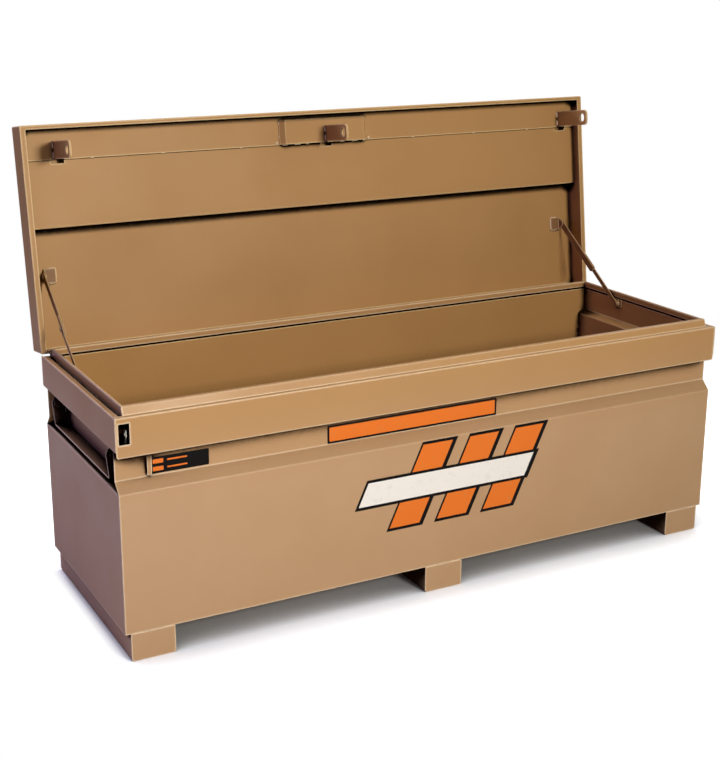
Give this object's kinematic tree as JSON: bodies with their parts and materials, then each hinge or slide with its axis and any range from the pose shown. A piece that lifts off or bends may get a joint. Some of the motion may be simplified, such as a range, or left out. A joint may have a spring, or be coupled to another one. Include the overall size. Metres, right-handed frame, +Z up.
{
  "type": "jobsite storage box",
  "caption": "Long folded-steel jobsite storage chest with hinged lid on folding stays, sliding pin latch, recessed lock opening, end channels with drop handles, and fork skids.",
  "frame": {"origin": "centre of the underside of the middle skid, on the ground", "axes": "+X along the chest's length to the right as seen from the front, +Y from the front to the rear, +Z up"},
  "size_m": [1.837, 0.7721, 1.2478],
  "materials": {
    "tan_paint": "baked tan enamel on folded sheet, slight orange peel",
    "inner_paint": "tan enamel, thinner on inside faces",
    "zinc": "zinc plated steel, satin",
    "dark_steel": "bare drawn steel pin"
  },
  "bodies": {
    "chest": {"front_panel": "tan_paint", "rear_panel": "tan_paint", "left_side_panel": "tan_paint", "right_side_panel": "tan_paint", "floor_panel": "inner_paint", "front_header": "tan_paint", "rear_header": "tan_paint", "left_header": "tan_paint", "right_header": "tan_paint", "skid_left": "tan_paint", "skid_middle": "tan_paint", "skid_right": "tan_paint", "lock_housing": "tan_paint", "lock_lug": "zinc", "left_front_handle_bracket": "zinc", "left_rear_handle_bracket": "zinc", "right_front_handle_bracket": "zinc", "right_rear_handle_bracket": "zinc", "left_stay_body_bracket": "tan_paint", "right_stay_body_bracket": "tan_paint", "hinge_body_leaf": "tan_paint", "hinge_pin": "dark_steel", "latch_guide_left": "inner_paint", "latch_guide_middle": "inner_paint", "latch_guide_right": "inner_paint"},
    "lid": {"lid_shell": "tan_paint", "lid_front_panel": "inner_paint", "lid_stiffener": "inner_paint", "lid_centre_box": "inner_paint", "left_stay_lid_bracket": "inner_paint", "right_stay_lid_bracket": "inner_paint", "hinge_lid_leaf": "tan_paint", "hasp_left": "inner_paint", "hasp_centre": "inner_paint", "hasp_right": "inner_paint"},
    "latch": {"latch_bar": "inner_paint", "latch_tab": "tan_paint", "latch_bracket_left": "inner_paint", "latch_bracket_centre": "inner_paint", "latch_bracket_right": "inner_paint"},
    "left_handle": {"left_handle": "tan_paint"},
    "right_handle": {"right_handle": "tan_paint"},
    "left_stay_upper": {"left_stay_upper": "tan_paint"},
    "left_stay_lower": {"left_stay_lower": "tan_paint"},
    "right_stay_upper": {"right_stay_upper": "tan_paint"},
    "right_stay_lower": {"right_stay_lower": "tan_paint"}
  },
  "joints": [
    {"name": "lid_hinge", "type": "hinge", "parent": "chest", "child": "lid", "pos_m": [0, 0.305, 0.639], "axis": [1, 0, 0], "range_deg": [0, 97.5]},
    {"name": "latch_slide", "type": "slide", "parent": "chest", "child": "latch", "axis": [1, 0, 0], "range_m": [0, 0.025]},
    {"name": "left_handle_swing", "type": "hinge", "parent": "chest", "child": "left_handle", "pos_m": [-0.8955, 0.019, 0.515], "axis": [0, 1, 0], "range_deg": [0, 90]},
    {"name": "right_handle_swing", "type": "hinge", "parent": "chest", "child": "right_handle", "pos_m": [0.8955, 0.019, 0.515], "axis": [0, -1, 0], "range_deg": [0, 90]},
    {"name": "left_stay_upper_fold", "type": "hinge", "parent": "lid", "child": "left_stay_upper", "pos_m": [-0.8735, 0.39607, 0.83277], "axis": [1, 0, 0], "range_deg": [-105.5, 0]},
    {"name": "left_stay_lower_fold", "type": "hinge", "parent": "left_stay_upper", "child": "left_stay_lower", "pos_m": [-0.877, 0.23803, 0.72117], "axis": [1, 0, 0], "range_deg": [0, 155.31]},
    {"name": "right_stay_upper_fold", "type": "hinge", "parent": "lid", "child": "right_stay_upper", "pos_m": [0.8735, 0.39607, 0.83277], "axis": [1, 0, 0], "range_deg": [-105.5, 0]},
    {"name": "right_stay_lower_fold", "type": "hinge", "parent": "right_stay_upper", "child": "right_stay_lower", "pos_m": [0.877, 0.23803, 0.72117], "axis": [1, 0, 0], "range_deg": [0, 155.31]}
  ],
  "couplings": [
    {"joint": "left_stay_upper_fold", "follows": "lid_hinge", "ratio": -1.082},
    {"joint": "left_stay_lower_fold", "follows": "lid_hinge", "ratio": 1.5929},
    {"joint": "right_stay_upper_fold", "follows": "lid_hinge", "ratio": -1.082},
    {"joint": "right_stay_lower_fold", "follows": "lid_hinge", "ratio": 1.5929}
  ]
}
